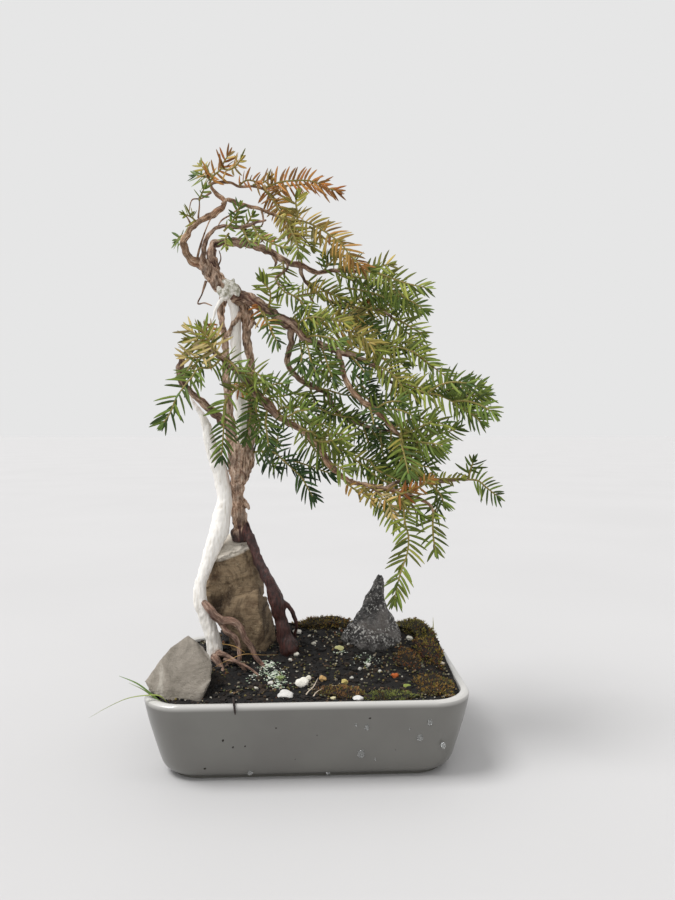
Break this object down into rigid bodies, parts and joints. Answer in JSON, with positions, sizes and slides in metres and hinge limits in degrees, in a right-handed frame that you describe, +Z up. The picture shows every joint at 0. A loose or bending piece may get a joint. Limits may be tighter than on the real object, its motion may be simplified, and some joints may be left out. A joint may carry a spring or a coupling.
{
  "type": "potted bonsai tree",
  "caption": "Windswept English yew bonsai, bleached dead wood and exposed roots straddling a tall stone, in a shallow round-cornered glazed pot.",
  "frame": {"origin": "centre of the pot's flat underside", "axes": "+Z up, +X along the pot's long front side, to the right as seen from the front, +Y from the front to the back"},
  "size_m": [0.2692, 0.14, 0.3975],
  "materials": {
    "glaze": "satin",
    "mesh": "matte",
    "soil": "matte",
    "tan_stone": "matte",
    "grey_stone": "matte",
    "dark_stone": "matte",
    "bark": "matte",
    "dead_wood": "matte",
    "moss": "matte",
    "pumice": "matte",
    "grass": "satin",
    "orange_leaf": "satin",
    "lime_leaf": "satin",
    "green_leaf": "satin",
    "dark_leaf": "satin"
  },
  "bodies": {
    "root": {"pot": "glaze", "drain_mesh_left": "mesh", "drain_mesh_right": "mesh", "tall_stone": "tan_stone", "dark_stone": "dark_stone", "grey_stone": "grey_stone", "trunk": "bark", "bleached_root": "dead_wood", "bleached_heart": "dead_wood", "surface_roots": "bark", "leader": "bark", "upper_branch": "bark", "upper_twig": "bark", "main_branch": "bark", "hanging_branch": "bark", "low_branch": "bark", "low_branch_end": "bark", "brown_stick": "bark", "middle_twig": "bark", "right_twig": "bark", "moss_back": "moss", "moss_right": "moss", "pumice_grain": "pumice", "grass_blade": "grass", "apex_spray": "orange_leaf", "crown_tip_spray": "orange_leaf", "crown_inner_spray": "orange_leaf", "crown_middle_spray": "orange_leaf", "upper_end_spray": "green_leaf", "upper_back_spray": "green_leaf", "inner_drooping_spray": "green_leaf", "middle_top_spray": "green_leaf", "middle_end_spray": "green_leaf", "middle_under_spray": "green_leaf", "main_under_spray": "green_leaf", "main_front_spray": "green_leaf", "main_middle_spray": "green_leaf", "main_fan_spray": "lime_leaf", "outer_upper_spray": "green_leaf", "outer_tip_spray": "green_leaf", "left_lime_spray": "lime_leaf", "left_front_spray": "green_leaf", "trunk_front_spray": "green_leaf", "trunk_fern_spray": "green_leaf", "low_top_spray": "green_leaf", "low_middle_spray": "green_leaf", "dark_spray": "dark_leaf", "low_mass_spray": "green_leaf", "hanging_spray": "green_leaf", "hanging_dark_spray": "dark_leaf", "stick_spray": "dark_leaf", "right_mass_spray": "green_leaf", "bottom_spray": "green_leaf", "bottom_dry_spray": "orange_leaf", "long_drooping_spray": "green_leaf", "short_drooping_spray": "green_leaf", "right_under_spray": "green_leaf", "right_tip_spray": "green_leaf", "soil": "soil"}
  },
  "joints": []
}
